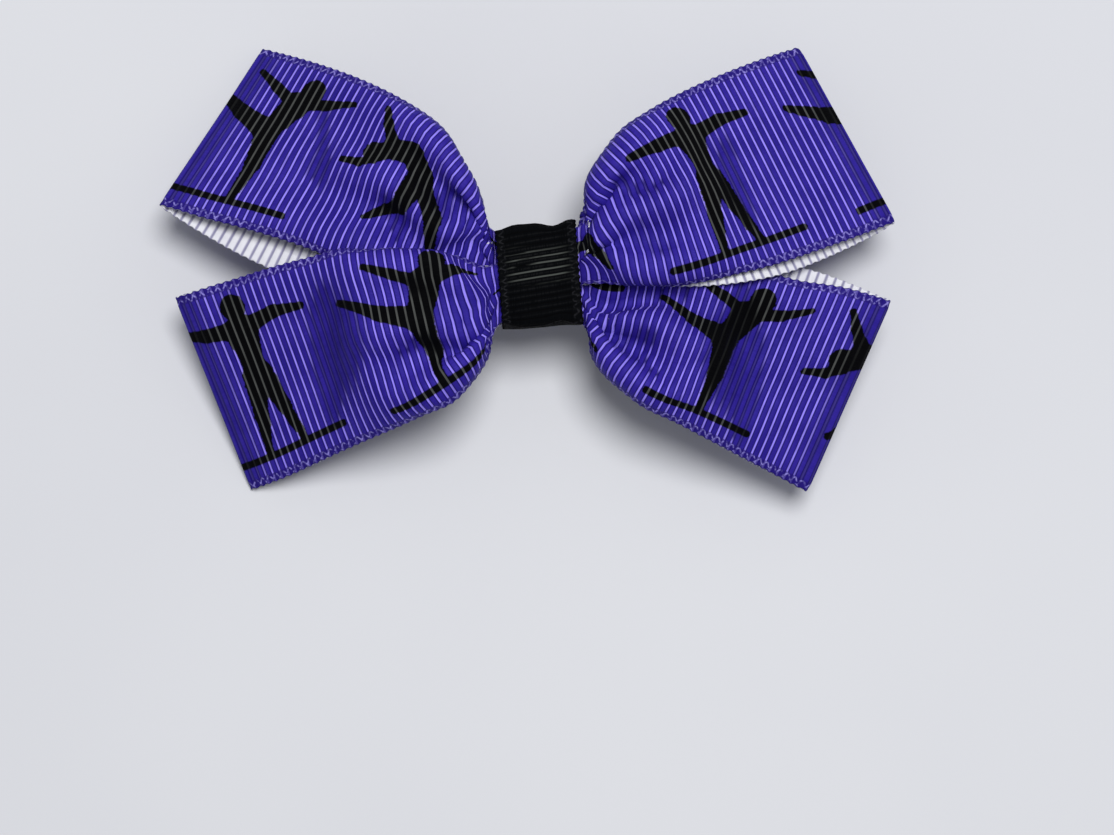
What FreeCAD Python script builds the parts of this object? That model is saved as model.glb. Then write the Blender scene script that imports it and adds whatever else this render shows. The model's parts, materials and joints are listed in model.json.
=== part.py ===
import FreeCAD, Part
import math
import os

# Cheer hair bow: two printed ribbon bands, each pinched into a pair of loops and crossed in an X,
# bound with thread, wrapped with a narrow ribbon and glued to a sprung alligator clip.
# The bow lies on its back as on a table: +Z is the bow's front, +X its right, +Y its top.
# All sizes are in millimetres, and positions are measured from the middle of the pinch.

# Whole bow
PINCH_X = 1.22                # the pinch stands this far from the middle of the bounding box
PINCH_Y = -0.7

# Ribbon bands
RIBBON_WIDTH = 22.2           # 7/8 in grosgrain
LOOP_THICKNESS = 0.5          # one ribbon layer in a loop
GATHER_THICKNESS = 0.75       # one gathered ribbon layer in the pinch
GATHER_HALF_WIDTH = 3.2
GATHER_EXIT_X = 5.0           # where the gathered bands leave the wrap
FLARE_SHARE = 0.45            # share of a loop's length over which it opens to full width
FOLD_RADIUS = 2.2
LAP_HALF_LENGTH = 3.5         # the lapped ends reach this far each side of the middle
LAP_THICKNESS = 0.34
LAP_SHIFT = 0.23              # each lapped end lies this far above or below its layer's middle
REAR_BACK_Z = 10.9            # heights of the four gathered layers in the pinch
REAR_FRONT_Z = 11.75
FRONT_BACK_Z = 12.6
FRONT_FRONT_Z = 13.45
SEAM_GLUE_THICKNESS = 0.1
SEAM_GLUE_HALF_LENGTH = 3.2
SEAM_GLUE_HALF_WIDTH = 2.8

# Thread and centre wrap
THREAD_HALF_X = 1.0
THREAD_THICKNESS = 0.34
THREAD_HALF_Y = 4.2
THREAD_BOTTOM_Z = 10.27
THREAD_TOP_Z = 14.06
WRAP_WIDTH = 8.6              # 3/8 in grosgrain, a little under its nominal 9.5 once pulled tight
WRAP_THICKNESS = 0.45
WRAP_SIDE_Y = 5.2
WRAP_TOP_Z = 14.6
WRAP_LOW_Z = 8.68             # first turn, under the clip's top plate
WRAP_LAP_Z = 8.1              # lapped end, under the first turn
GLUE_DAB_X = (1.5, 4.4)
GLUE_DAB_HALF_Y = 3.0
GLUE_DAB_Z = (10.0, 10.46)
GLUE_DAB_CORNER = 0.15
WRAP_GLUE_HALF_X = 3.8
WRAP_GLUE_HALF_Y = 2.6
WRAP_GLUE_THICKNESS = 0.1

# Clip
CLIP_NOSE_X = -22.0
CLIP_TAIL_X = 21.0
PLATE_HALF_WIDTH = 4.0
PLATE_BOTTOM_Z = 9.0
PLATE_THICKNESS = 0.6
PLATE_TAIL_RADIUS = 2.0
LINING_Z = (9.62, 9.98)
LINING_INSET = 0.2            # the lining stops this far inside the plate's edge
SHEET = 0.5                   # sheet thickness of the ears, teeth and lower lever
HINGE_X = 8.0
HINGE_Z = 6.5
PIN_RADIUS = 0.8
PIN_HEAD_RADIUS = 1.4
PIN_HEAD_THICKNESS = 0.45
PIN_FIXED_GAP = 0.02          # pin in the upper ears, which it is riveted to
PIN_RUNNING_GAP = 0.06        # pin in the lower ears, which turn on it
PIN_HOLE_HALF_LENGTH = 10.0   # the holes are cut right through both ears
UPPER_EAR_RADIUS = 2.4
LOWER_EAR_RADIUS = 2.1
LOWER_EAR_BASE_Z = 4.05       # the lower ears run down into the lever from here
LEVER_HALF_WIDTH = 3.15
LEVER_NOSE_X = -21.3
LEVER_CUT_Z = (-5.0, 15.0)    # the lever's outline is cut through everything between these heights
LEVER_PATH = [(-21.3, 8.4), (-17.0, 7.35), (8.0, 4.1), (12.0, 3.0), (18.4, 0.25), (21.0, 0.25)]
TOOTH_PITCH = 1.5
TOOTH_HEIGHT = 1.1
UPPER_TEETH_X = (-17.5, 7)    # first tooth and how many
LOWER_TEETH_X = (-18.6, 7)
COIL_RADIUS = 1.35
COIL_WIRE_RADIUS = 0.23
COIL_HALF_LENGTH = 1.9
COIL_TURNS = 8
SPRING_LEG_END_X = 15.0
UPPER_LEG_END_Z = 8.72
LOWER_LEG_END_Z = 2.6

# Each loop: the two corners of its end fold, and the heights of its four edges on the way there.
# A knot is (share of the way from pinch to fold, height at the inner edge, height at the outer edge).
LOOPS = {
    "rear_left": {
        "exit": (-GATHER_EXIT_X, 1.5),
        "outer": (-31.0, 24.7, 2.42), "inner": (-41.2, 7.7, 10.4),
        "back": [(0.0, 10.75, 10.75), (0.12, 10.9, 10.6), (0.25, 11.1, 10.0), (0.4, 11.3, 8.8),
                 (0.55, 11.2, 7.3), (0.75, 10.4, 4.4)],
        "front": [(0.0, 11.75, 11.75), (0.12, 11.85, 12.8), (0.25, 12.0, 14.2), (0.4, 12.15, 14.8),
                  (0.55, 12.1, 13.3), (0.75, 12.4, 9.0)],
    },
    "rear_right": {
        "exit": (GATHER_EXIT_X, -1.5),
        "outer": (29.3, -22.8, 6.0), "inner": (38.8, -3.2, 10.2),
        "back": [(0.0, 11.0, 11.0), (0.12, 11.0, 10.8), (0.25, 11.1, 10.2), (0.4, 11.3, 9.2),
                 (0.55, 11.2, 8.2), (0.75, 10.3, 6.1)],
        "front": [(0.0, 11.75, 11.75), (0.12, 11.85, 12.8), (0.25, 12.0, 14.2), (0.4, 12.15, 15.0),
                  (0.55, 12.1, 13.9), (0.75, 12.4, 11.2)],
    },
    "front_left": {
        "exit": (-GATHER_EXIT_X, -1.6),
        "outer": (-32.2, -23.4, 2.41), "inner": (-39.6, -3.0, 8.8),
        "back": [(0.0, 12.45, 12.45), (0.12, 13.2, 12.9), (0.25, 14.0, 12.8), (0.4, 14.8, 11.8),
                 (0.55, 14.8, 10.2), (0.75, 12.9, 6.0)],
        "front": [(0.0, 13.45, 13.45), (0.12, 14.9, 15.2), (0.25, 16.4, 17.0), (0.4, 17.4, 17.0),
                  (0.55, 17.4, 15.4), (0.75, 15.6, 10.8)],
    },
    "front_right": {
        "exit": (GATHER_EXIT_X, 1.6),
        "outer": (28.4, 24.6, 5.4), "inner": (38.6, 6.0, 9.6),
        "back": [(0.0, 12.7, 12.7), (0.12, 13.2, 13.0), (0.25, 14.0, 12.9), (0.4, 14.8, 12.0),
                 (0.55, 14.8, 10.8), (0.75, 13.2, 7.8)],
        "front": [(0.0, 13.45, 13.45), (0.12, 14.9, 15.2), (0.25, 16.4, 17.0), (0.4, 17.4, 17.2),
                  (0.55, 17.4, 16.0), (0.75, 15.8, 12.4)],
    },
}


def save(name, shape):
    """Write one piece, moved so that the bow's bounding box is centred over the origin."""
    placed = shape.copy()
    placed.translate(FreeCAD.Vector(PINCH_X, PINCH_Y, 0))
    placed.exportStep("parts/" + name + ".step")


def box(x_range, y_range, z_range):
    size = [high - low for low, high in (x_range, y_range, z_range)]
    return Part.makeBox(*size, FreeCAD.Vector(x_range[0], y_range[0], z_range[0]))


def cylinder_along_y(x, z, radius, y_low, y_high):
    start = FreeCAD.Vector(x, y_low, z)
    return Part.makeCylinder(radius, y_high - y_low, start, FreeCAD.Vector(0, 1, 0))


def strip_outline(points, thickness):
    """Closed outline of a strip of even thickness that follows a bent line in a plane."""
    upper = []
    lower = []
    for i, (a, b) in enumerate(points):
        before = points[max(i - 1, 0)]
        after = points[min(i + 1, len(points) - 1)]
        arriving = math.atan2(b - before[1], a - before[0]) if i > 0 else None
        leaving = math.atan2(after[1] - b, after[0] - a) if i < len(points) - 1 else None
        arriving = leaving if arriving is None else arriving
        leaving = arriving if leaving is None else leaving
        turn = math.atan2(math.sin(leaving - arriving), math.cos(leaving - arriving))
        heading = arriving + turn / 2
        reach = thickness / 2 / math.cos(turn / 2)
        side = (-math.sin(heading) * reach, math.cos(heading) * reach)
        upper.append((a + side[0], b + side[1]))
        lower.append((a - side[0], b - side[1]))
    return upper + lower[::-1]


def prism_xz(points, y_low, y_high):
    """Prism along Y from an outline of (x, z) points."""
    corners = [FreeCAD.Vector(x, y_low, z) for x, z in points]
    face = Part.Face(Part.makePolygon(corners + corners[:1]))
    return face.extrude(FreeCAD.Vector(0, y_high - y_low, 0))


def prism_yz(points, x_low, x_high):
    """Prism along X from an outline of (y, z) points."""
    corners = [FreeCAD.Vector(x_low, y, z) for y, z in points]
    face = Part.Face(Part.makePolygon(corners + corners[:1]))
    return face.extrude(FreeCAD.Vector(x_high - x_low, 0, 0))


def blade(nose_x, tail_x, half_width, tail_radius, z_low, z_high):
    """Flat plate along X with a half-round nose and a tail with rounded corners."""
    centre_x = nose_x + half_width
    body = box((centre_x, tail_x), (-half_width, half_width), (z_low, z_high))
    corners = [e for e in body.Edges if e.BoundBox.ZLength > (z_high - z_low) / 2
               and e.BoundBox.XMin > tail_x - 0.01]
    body = body.makeFillet(tail_radius, corners)
    nose = Part.makeCylinder(half_width, z_high - z_low, FreeCAD.Vector(centre_x, 0, z_low))
    return body.fuse(nose).removeSplitter()


def height_at(knots, share):
    """Inner and outer edge heights at a share of the way along a loop, straight between knots."""
    for first, second in zip(knots, knots[1:]):
        if share <= second[0]:
            t = (share - first[0]) / (second[0] - first[0])
            return tuple(first[k] + t * (second[k] - first[k]) for k in (1, 2))
    return knots[-1][1], knots[-1][2]


def loop_stations(loop, from_back):
    """Stations of one loop, from the pinch round its end fold and back to the pinch.

    A station is (point at the edge with lower Y, point at the edge with higher Y, thickness).
    """
    exit_x, exit_y = loop["exit"]
    outer, inner = loop["outer"], loop["inner"]
    fold_x, fold_y = (outer[0] + inner[0]) / 2, (outer[1] + inner[1]) / 2
    length = math.hypot(fold_x - exit_x, fold_y - exit_y)
    up = 1 if outer[1] > inner[1] else -1
    fold_half = math.dist(outer, inner) / 2
    fold_heading = math.atan2(up * (outer[1] - inner[1]), up * (outer[0] - inner[0]))

    def station(share, heights, thickness):
        x = exit_x + share * (fold_x - exit_x)
        y = exit_y + share * (fold_y - exit_y)
        open_share = math.sin(math.pi / 2 * min(1.0, share / FLARE_SHARE))
        half = GATHER_HALF_WIDTH + (fold_half - GATHER_HALF_WIDTH) * open_share
        half *= math.cos(math.atan2(heights[0] - heights[1], 2 * half))
        heading = math.pi / 2 + share * (fold_heading - math.pi / 2)
        dx, dy = math.cos(heading) * half, math.sin(heading) * half
        low_z, high_z = (heights[0], heights[1]) if up > 0 else (heights[1], heights[0])
        return (FreeCAD.Vector(x - dx, y - dy, low_z), FreeCAD.Vector(x + dx, y + dy, high_z),
                thickness)

    tangent_share = 1 - FOLD_RADIUS / length
    back = loop["back"] + [(tangent_share, inner[2] - FOLD_RADIUS, outer[2] - FOLD_RADIUS)]
    front = loop["front"] + [(tangent_share, inner[2] + FOLD_RADIUS, outer[2] + FOLD_RADIUS)]
    shares = [knot[0] for knot in back]
    stations = []
    for share in shares:
        stations.append(station(share, height_at(back, share), LOOP_THICKNESS))
    for angle in (-45, 0, 45):
        share = 1 - (1 - math.cos(math.radians(angle))) * FOLD_RADIUS / length
        lift = FOLD_RADIUS * math.sin(math.radians(angle))
        stations.append(station(share, (inner[2] + lift, outer[2] + lift), LOOP_THICKNESS))
    for share in reversed(shares):
        thickness = GATHER_THICKNESS if share == 0.0 else LOOP_THICKNESS
        stations.append(station(share, height_at(front, share), thickness))
    return stations if from_back else stations[::-1]


def band(stations):
    """Solid ribbon through a row of stations."""
    sections = []
    for i, (low, high, thickness) in enumerate(stations):
        before = stations[max(i - 1, 0)]
        after = stations[min(i + 1, len(stations) - 1)]
        forward = (after[0] + after[1]) - (before[0] + before[1])
        normal = forward.cross(high - low).normalize() * (thickness / 2)
        corners = [low - normal, high - normal, high + normal, low + normal]
        sections.append(Part.makePolygon(corners + corners[:1]))
    return Part.makeLoft(sections, True, True)


def pinch_station(left_exit, right_exit, x, z, half_width, thickness):
    share = (x + GATHER_EXIT_X) / (2 * GATHER_EXIT_X)
    y = left_exit[1] + share * (right_exit[1] - left_exit[1])
    return (FreeCAD.Vector(x, y - half_width, z), FreeCAD.Vector(x, y + half_width, z), thickness)


def ribbon_ring(left, right, back_z):
    """One ribbon: it starts lapped at the back, makes both loops and ends lapped at the back."""
    def lap(x, shift):
        return pinch_station(left["exit"], right["exit"], x, back_z + shift,
                             GATHER_HALF_WIDTH, LAP_THICKNESS)
    stations = [lap(LAP_HALF_LENGTH, -LAP_SHIFT), lap(-LAP_HALF_LENGTH, -LAP_SHIFT)]
    stations += loop_stations(left, True)
    stations += loop_stations(right, False)
    stations += [lap(LAP_HALF_LENGTH, LAP_SHIFT), lap(-LAP_HALF_LENGTH, LAP_SHIFT)]
    return band(stations)


def seam_glue(left, right, back_z):
    ends = [pinch_station(left["exit"], right["exit"], x, back_z, SEAM_GLUE_HALF_WIDTH,
                          SEAM_GLUE_THICKNESS)
            for x in (-SEAM_GLUE_HALF_LENGTH, SEAM_GLUE_HALF_LENGTH)]
    return band(ends)


def binding_thread():
    """Thread wound round both bands, as one flat ring."""
    half = THREAD_THICKNESS / 2
    y_outer, y_inner = THREAD_HALF_Y + half, THREAD_HALF_Y - half
    outside = box((-THREAD_HALF_X, THREAD_HALF_X), (-y_outer, y_outer),
                  (THREAD_BOTTOM_Z - half, THREAD_TOP_Z + half))
    inside = box((-2 * THREAD_HALF_X, 2 * THREAD_HALF_X), (-y_inner, y_inner),
                 (THREAD_BOTTOM_Z + half, THREAD_TOP_Z - half))
    return outside.cut(inside)


def centre_wrap():
    """Narrow ribbon round the pinch and the clip's top plate, lapped under the plate."""
    path = [(-3.0, WRAP_LOW_Z), (4.1, WRAP_LOW_Z), (WRAP_SIDE_Y, 10.2), (WRAP_SIDE_Y, 14.1),
            (4.7, WRAP_TOP_Z), (-4.7, WRAP_TOP_Z), (-WRAP_SIDE_Y, 14.1), (-WRAP_SIDE_Y, 10.2),
            (-3.95, WRAP_LAP_Z), (3.0, WRAP_LAP_Z)]
    outline = strip_outline(path, WRAP_THICKNESS)
    return prism_yz(outline, -WRAP_WIDTH / 2, WRAP_WIDTH / 2)


def wrap_end_glue():
    middle = (WRAP_LOW_Z + WRAP_LAP_Z) / 2
    half = WRAP_GLUE_THICKNESS / 2
    return box((-WRAP_GLUE_HALF_X, WRAP_GLUE_HALF_X), (-WRAP_GLUE_HALF_Y, WRAP_GLUE_HALF_Y),
               (middle - half, middle + half))


def bow_to_clip_glue():
    dabs = []
    for low, high in (GLUE_DAB_X, (-GLUE_DAB_X[1], -GLUE_DAB_X[0])):
        dab = box((low, high), (-GLUE_DAB_HALF_Y, GLUE_DAB_HALF_Y), GLUE_DAB_Z)
        upright = [e for e in dab.Edges if e.BoundBox.ZLength > GLUE_DAB_CORNER]
        dabs.append(dab.makeFillet(GLUE_DAB_CORNER, upright))
    return Part.makeCompound(dabs)


def toothed_edge(first_x, count, base_height, tip_height):
    """Outline of a row of triangular teeth; the heights are functions of x."""
    end_x = first_x + count * TOOTH_PITCH
    outline = [(first_x, base_height(first_x))]
    for i in range(count):
        x = first_x + i * TOOTH_PITCH
        outline.append((x + TOOTH_PITCH / 2, tip_height(x + TOOTH_PITCH / 2)))
        if i < count - 1:
            valley = x + TOOTH_PITCH
            outline.append((valley, (base_height(valley) + tip_height(valley)) / 2))
    outline.append((end_x, base_height(end_x)))
    return outline


def clip_top_jaw():
    plate = blade(CLIP_NOSE_X, CLIP_TAIL_X, PLATE_HALF_WIDTH, PLATE_TAIL_RADIUS,
                  PLATE_BOTTOM_Z, PLATE_BOTTOM_Z + PLATE_THICKNESS)
    solids = [plate]
    inner_y = PLATE_HALF_WIDTH - SHEET
    sunk_z = PLATE_BOTTOM_Z + SHEET / 2
    teeth = toothed_edge(*UPPER_TEETH_X, lambda x: sunk_z,
                         lambda x: PLATE_BOTTOM_Z - TOOTH_HEIGHT)
    for y_low, y_high in ((inner_y, PLATE_HALF_WIDTH), (-PLATE_HALF_WIDTH, -inner_y)):
        ear = box((HINGE_X - UPPER_EAR_RADIUS, HINGE_X + UPPER_EAR_RADIUS), (y_low, y_high),
                  (HINGE_Z, sunk_z))
        solids.append(ear)
        solids.append(cylinder_along_y(HINGE_X, HINGE_Z, UPPER_EAR_RADIUS, y_low, y_high))
        solids.append(prism_xz(teeth, y_low, y_high))
    jaw = solids[0].fuse(solids[1:])
    hole = cylinder_along_y(HINGE_X, HINGE_Z, PIN_RADIUS + PIN_FIXED_GAP,
                            -PIN_HOLE_HALF_LENGTH, PIN_HOLE_HALF_LENGTH)
    return jaw.cut(hole).removeSplitter()


def clip_bottom_jaw():
    lever = prism_xz(strip_outline(LEVER_PATH, SHEET), -LEVER_HALF_WIDTH, LEVER_HALF_WIDTH)
    plan = blade(LEVER_NOSE_X, CLIP_TAIL_X, LEVER_HALF_WIDTH, PLATE_TAIL_RADIUS, *LEVER_CUT_Z)
    lever = lever.common(plan)
    (x0, z0), (x1, z1) = LEVER_PATH[1:3]

    def lever_z(x):
        return z0 + (x - x0) * (z1 - z0) / (x1 - x0)

    teeth = toothed_edge(*LOWER_TEETH_X, lambda x: lever_z(max(x, x0)),
                         lambda x: lever_z(max(x, x0)) + TOOTH_HEIGHT)
    inner_y = LEVER_HALF_WIDTH - SHEET
    solids = []
    for y_low, y_high in ((inner_y, LEVER_HALF_WIDTH), (-LEVER_HALF_WIDTH, -inner_y)):
        solids.append(box((HINGE_X - LOWER_EAR_RADIUS, HINGE_X + LOWER_EAR_RADIUS),
                          (y_low, y_high), (LOWER_EAR_BASE_Z, HINGE_Z)))
        solids.append(cylinder_along_y(HINGE_X, HINGE_Z, LOWER_EAR_RADIUS, y_low, y_high))
        solids.append(prism_xz(teeth, y_low, y_high).common(plan))
    jaw = lever.fuse(solids)
    hole = cylinder_along_y(HINGE_X, HINGE_Z, PIN_RADIUS + PIN_RUNNING_GAP,
                            -PIN_HOLE_HALF_LENGTH, PIN_HOLE_HALF_LENGTH)
    return jaw.cut(hole).removeSplitter()


def hinge_pin():
    head_start = PLATE_HALF_WIDTH + PIN_FIXED_GAP
    head_end = head_start + PIN_HEAD_THICKNESS
    pin = cylinder_along_y(HINGE_X, HINGE_Z, PIN_RADIUS, -head_end, head_end)
    heads = [cylinder_along_y(HINGE_X, HINGE_Z, PIN_HEAD_RADIUS, head_start, head_end),
             cylinder_along_y(HINGE_X, HINGE_Z, PIN_HEAD_RADIUS, -head_end, -head_start)]
    return pin.fuse(heads).removeSplitter()


def rod(start, end, radius):
    direction = end - start
    return Part.makeCylinder(radius, direction.Length, start, direction)


def clip_spring():
    """Torsion spring round the pin: closed turns, one leg under the plate and one on the lever."""
    inner_radius = COIL_RADIUS - COIL_WIRE_RADIUS
    outer_radius = COIL_RADIUS + COIL_WIRE_RADIUS
    pitch = 2 * COIL_HALF_LENGTH / COIL_TURNS
    profile = [(-COIL_HALF_LENGTH, inner_radius), (-COIL_HALF_LENGTH, COIL_RADIUS)]
    for turn in range(COIL_TURNS):
        turn_start = -COIL_HALF_LENGTH + turn * pitch
        profile += [(turn_start + 0.3 * pitch, outer_radius), (turn_start + 0.7 * pitch, outer_radius),
                    (turn_start + pitch, COIL_RADIUS)]
    profile.append((COIL_HALF_LENGTH, inner_radius))
    corners = [FreeCAD.Vector(HINGE_X + radius, y, HINGE_Z) for y, radius in profile]
    face = Part.Face(Part.makePolygon(corners + corners[:1]))
    coil = face.revolve(FreeCAD.Vector(HINGE_X, 0, HINGE_Z), FreeCAD.Vector(0, 1, 0), 360)
    leg_y = COIL_HALF_LENGTH - pitch / 2
    upper = rod(FreeCAD.Vector(HINGE_X, -leg_y, HINGE_Z + COIL_RADIUS),
                FreeCAD.Vector(SPRING_LEG_END_X, -leg_y, UPPER_LEG_END_Z), COIL_WIRE_RADIUS)
    lower = rod(FreeCAD.Vector(HINGE_X, leg_y, HINGE_Z - COIL_RADIUS),
                FreeCAD.Vector(SPRING_LEG_END_X, leg_y, LOWER_LEG_END_Z), COIL_WIRE_RADIUS)
    return coil.fuse([upper, lower]).removeSplitter()


PIECES = {
    "rear_ribbon": ribbon_ring(LOOPS["rear_left"], LOOPS["rear_right"], REAR_BACK_Z),
    "front_ribbon": ribbon_ring(LOOPS["front_left"], LOOPS["front_right"], FRONT_BACK_Z),
    "rear_seam_glue": seam_glue(LOOPS["rear_left"], LOOPS["rear_right"], REAR_BACK_Z),
    "front_seam_glue": seam_glue(LOOPS["front_left"], LOOPS["front_right"], FRONT_BACK_Z),
    "binding_thread": binding_thread(),
    "centre_wrap": centre_wrap(),
    "wrap_end_glue": wrap_end_glue(),
    "bow_to_clip_glue": bow_to_clip_glue(),
    "clip_lining": blade(CLIP_NOSE_X + LINING_INSET, CLIP_TAIL_X - LINING_INSET,
                         PLATE_HALF_WIDTH - LINING_INSET, PLATE_TAIL_RADIUS, *LINING_Z),
    "clip_top_jaw": clip_top_jaw(),
    "clip_bottom_jaw": clip_bottom_jaw(),
    "hinge_pin": hinge_pin(),
    "clip_spring": clip_spring(),
}

os.makedirs("parts", exist_ok=True)
for node, piece in PIECES.items():
    save(node, piece)
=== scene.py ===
import json
import math

import bpy
import numpy as np
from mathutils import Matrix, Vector


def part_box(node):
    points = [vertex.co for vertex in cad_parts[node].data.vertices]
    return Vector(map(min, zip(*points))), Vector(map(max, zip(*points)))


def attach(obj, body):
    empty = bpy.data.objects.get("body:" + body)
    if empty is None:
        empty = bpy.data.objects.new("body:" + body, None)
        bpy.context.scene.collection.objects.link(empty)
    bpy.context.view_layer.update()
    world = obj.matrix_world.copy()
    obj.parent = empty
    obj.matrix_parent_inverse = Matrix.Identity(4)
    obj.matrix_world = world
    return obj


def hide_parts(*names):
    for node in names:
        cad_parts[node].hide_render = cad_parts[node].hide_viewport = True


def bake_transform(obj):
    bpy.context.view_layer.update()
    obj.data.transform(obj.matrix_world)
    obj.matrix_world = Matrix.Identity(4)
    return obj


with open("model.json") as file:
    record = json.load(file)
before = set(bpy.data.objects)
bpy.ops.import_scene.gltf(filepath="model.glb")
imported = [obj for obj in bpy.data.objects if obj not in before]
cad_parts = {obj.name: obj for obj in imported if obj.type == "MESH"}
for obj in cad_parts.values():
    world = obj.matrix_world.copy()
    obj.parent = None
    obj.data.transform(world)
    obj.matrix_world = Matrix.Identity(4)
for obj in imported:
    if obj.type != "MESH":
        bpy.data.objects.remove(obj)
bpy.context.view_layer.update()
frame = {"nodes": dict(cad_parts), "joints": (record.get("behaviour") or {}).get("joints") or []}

BOW, LEVER = "bow", "lever"

# ---- ribbon relaxation

MM = 0.001
RIBBON_W = 22.2
ACROSS = 21  # simulation points across the ribbon
STEP = 1.1  # spacing along the ribbon, mm
ROUNDS = 300  # rounds of the relaxation
EXIT_X = 5.0  # half the length of the tied middle, mm
GATHER = 3.2  # half the ribbon's width where it leaves the tied middle, mm
LAP_END_X = 3.5  # how far the lapped ends reach past the centre, mm
HALF_LAP = 0.23  # half the distance between the lapped ends, mm
GAP = 0.45  # least distance between two layers of ribbon, mm
TABLE_GAP = 0.25  # least height over the table, mm
CLIP_TOP = 10.35  # least height over the lined clip, mm
CLIP_X, CLIP_HALF_Y = (-22.5, 21.5), 4.6
WEIGHT = 0.0006  # sag per round, mm
CONTACT_CELL = 1.2  # squares of the height map between the bands, mm
CONTACT_CELLS, CONTACT_HALF = 80, 48

V = np.linspace(-RIBBON_W / 2, RIBBON_W / 2, ACROSS)
NEIGHBOURS = [(slice(first, -1, 2), slice(first + 1, None, 2)) for first in (0, 1)]

# Each loop: the middle of its gathered exit, the outer and inner corners of its end fold, the two
# handles of each edge's curve in plan, and each edge's heights at SHARES of the way to the end fold.
SHARES = {"front": (0, 0.2, 0.45, 0.75, 1), "back": (0, 0.25, 0.55, 0.8, 1)}
LOOPS = {
    "rear_left": dict(
        exit=(-5.0, 1.8), outer=(-30.8, 26.2), inner=(-40.4, 8.0),
        front_out=((-5, 12.5), (-14, 21)), front_in=((-14, -1), (-27, 4.5)),
        back_out=((-6, 11.5), (-16, 19.5)), back_in=((-14, -2), (-29, -3.5)),
        z_front_out=(11.75, 14.0, 15.0, 9.5, 2.6), z_front_in=(11.75, 11.9, 12.3, 12.6, 10.2),
        z_back_out=(10.8, 10.0, 7.3, 3.4, 2.6), z_back_in=(10.8, 11.1, 11.2, 9.4, 10.2)),
    "rear_right": dict(
        exit=(5.0, -1.9), outer=(28.6, -22.6), inner=(37.7, -2.6),
        front_out=((5.2, -12.5), (13.5, -14.5)), front_in=((14, 0.9), (27, -0.4)),
        back_out=((5.8, -11.0), (14.5, -13.3)), back_in=((15, 2), (27, 4.5)),
        z_front_out=(11.75, 14.0, 15.2, 11.5, 6.9), z_front_in=(11.75, 11.9, 12.3, 12.6, 9.6),
        z_back_out=(11.0, 10.2, 8.2, 6.2, 6.9), z_back_in=(11.0, 11.1, 11.2, 9.6, 9.6)),
    "front_left": dict(
        exit=(-5.0, -2.1), outer=(-31.9, -22.6), inner=(-38.9, -2.2),
        front_out=((-5, -15.2), (-16.5, -15.3)), front_in=((-15, 3.2), (-26, 2.6)),
        back_out=((-6, -13.0), (-17, -14.1)), back_in=((-15, 2.0), (-26, 1.4)),
        z_front_out=(13.6, 16.2, 16.0, 9.6, 2.6), z_front_in=(13.6, 15.6, 16.6, 14.0, 8.0),
        z_back_out=(12.5, 12.4, 9.6, 4.2, 2.6), z_back_in=(12.5, 13.4, 13.6, 10.5, 8.0)),
    "front_right": dict(
        exit=(5.0, 2.1), outer=(28.3, 25.8), inner=(37.8, 6.3),
        front_out=((4.2, 14.5), (13.5, 19)), front_in=((14, -1), (23.5, -0.8)),
        back_out=((5, 13), (14, 18)), back_in=((14, 2.5), (28, -6.5)),
        z_front_out=(13.6, 16.4, 16.6, 11.4, 5.6), z_front_in=(13.6, 15.6, 16.8, 14.6, 9.4),
        z_back_out=(12.7, 12.6, 10.4, 6.2, 5.6), z_back_in=(12.7, 13.6, 14.0, 11.2, 9.4)),
}


def unit(a):
    """Vectors scaled to length 1."""
    return a / np.maximum(np.linalg.norm(a, axis=-1, keepdims=True), 1e-12)


def surface_normals(P):
    """Normals of a grid of points."""
    return unit(np.cross(np.gradient(P, axis=0), np.gradient(P, axis=1)))


def lengths_along(path):
    """Length from the start of a path to each of its points."""
    return np.concatenate([[0], np.cumsum(np.linalg.norm(np.diff(path, axis=0), axis=1))])


def edge_curve(start, handles, end, count):
    """Points evenly spaced along a cubic curve in plan."""
    t = np.linspace(0, 1, 200)[:, None]
    p = [np.array(point, float) for point in (start, *handles, end)]
    c = (1 - t) ** 3 * p[0] + 3 * (1 - t) ** 2 * t * p[1] + 3 * (1 - t) * t ** 2 * p[2] + t ** 3 * p[3]
    run = lengths_along(c)
    s = np.linspace(0, run[-1], count)
    return np.stack([np.interp(s, run, c[:, k]) for k in (0, 1)], 1)


def pleats(v):
    """Height of the pinch pleats over the ribbon's width: three ridges and two valleys."""
    return np.cos(2 * np.pi * v / (RIBBON_W / 3))


def layer(loop, which, rows):
    """First guess of one layer of a loop, from the pinch to the end fold, low-Y edge first."""
    x, y = loop["exit"]
    up = 1 if loop["outer"][1] > loop["inner"][1] else -1
    share = np.linspace(0, 1, rows)
    edges = []
    for edge, corner, side in (("_in", "inner", -up), ("_out", "outer", up)):
        plan = edge_curve((x, y + side * GATHER), loop[which + edge], loop[corner], rows)
        edges.append((plan, np.interp(share, SHARES[which], loop["z_" + which + edge])))
    (low, z_low), (high, z_high) = edges[::up]
    w = (V + RIBBON_W / 2) / RIBBON_W
    xy = low[:, None, :] * (1 - w[:, None]) + high[:, None, :] * w[:, None]
    z = z_low[:, None] * (1 - w) + z_high[:, None] * w
    width = np.sqrt(((high - low) ** 2).sum(1) + (z_high - z_low) ** 2)
    excess = np.clip(RIBBON_W / np.maximum(width, 1) - 1, 0, 1.2)
    height = np.sqrt(excess) * width / 3 / np.pi
    height = np.minimum(height, 1.5) * np.minimum(1, 0.35 + share * 5)
    z = z + height[:, None] * pleats(V)
    return np.concatenate([xy, z[..., None]], 2)


def pinch_rows(left, right, xs, z, height):
    """Gathered rows of the tied middle at the places xs, with pleats of the given height."""
    rows = []
    for x in xs:
        share = (x + EXIT_X) / (2 * EXIT_X)
        y = left[1] + share * (right[1] - left[1]) + V / (RIBBON_W / 2) * GATHER
        rows.append(np.stack([np.full(ACROSS, x), y, z + height * pleats(V)], 1))
    return np.array(rows)


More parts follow.
